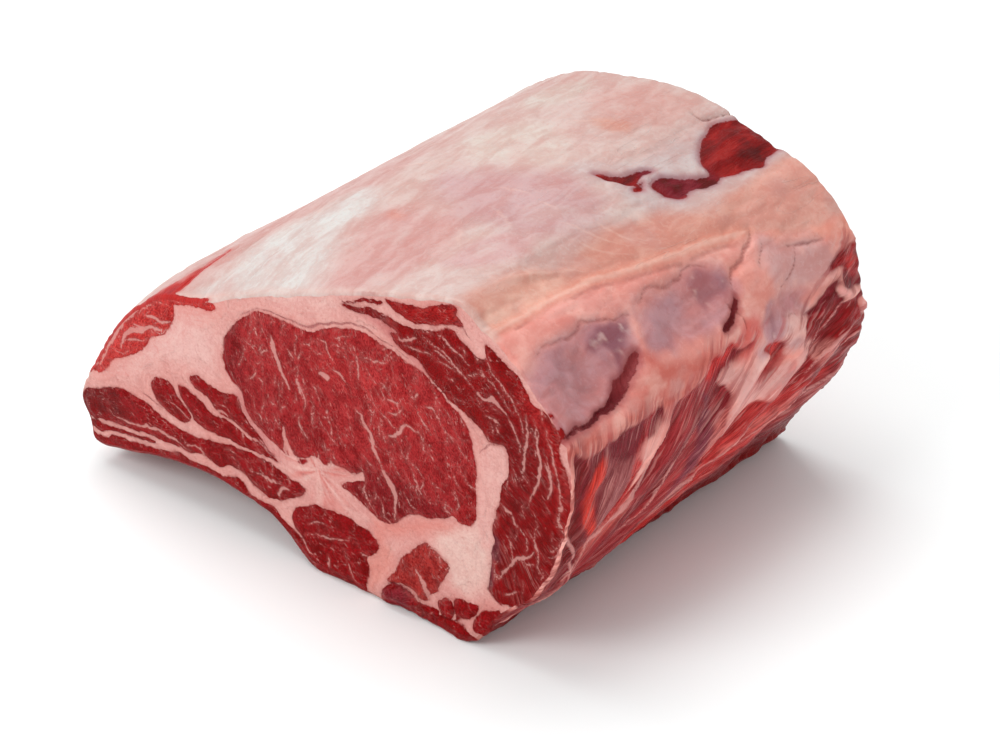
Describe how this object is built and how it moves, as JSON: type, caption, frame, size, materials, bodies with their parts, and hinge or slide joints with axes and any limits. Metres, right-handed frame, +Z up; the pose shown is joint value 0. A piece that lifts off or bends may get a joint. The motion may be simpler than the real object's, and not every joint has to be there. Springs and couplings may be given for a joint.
{
  "type": "raw beef rib roast",
  "caption": "Raw boneless beef rib roast: a block of marbled meat with a flat cut face, domed fat cap, pointed tail and arched rib side.",
  "frame": {"origin": "centre of the underside of the bounding box, on the surface that the roast rests on", "axes": "+X across the roast to the chine side, +Y along its length from the near cut to the far cut, +Z up through the fat cap"},
  "size_m": [0.253, 0.19, 0.143],
  "materials": {
    "raw_beef": "moist raw beef: dark red marbled muscle on the cuts, pale pink fat on the outside"
  },
  "bodies": {
    "root": {"roast": "raw_beef"}
  },
  "joints": []
}
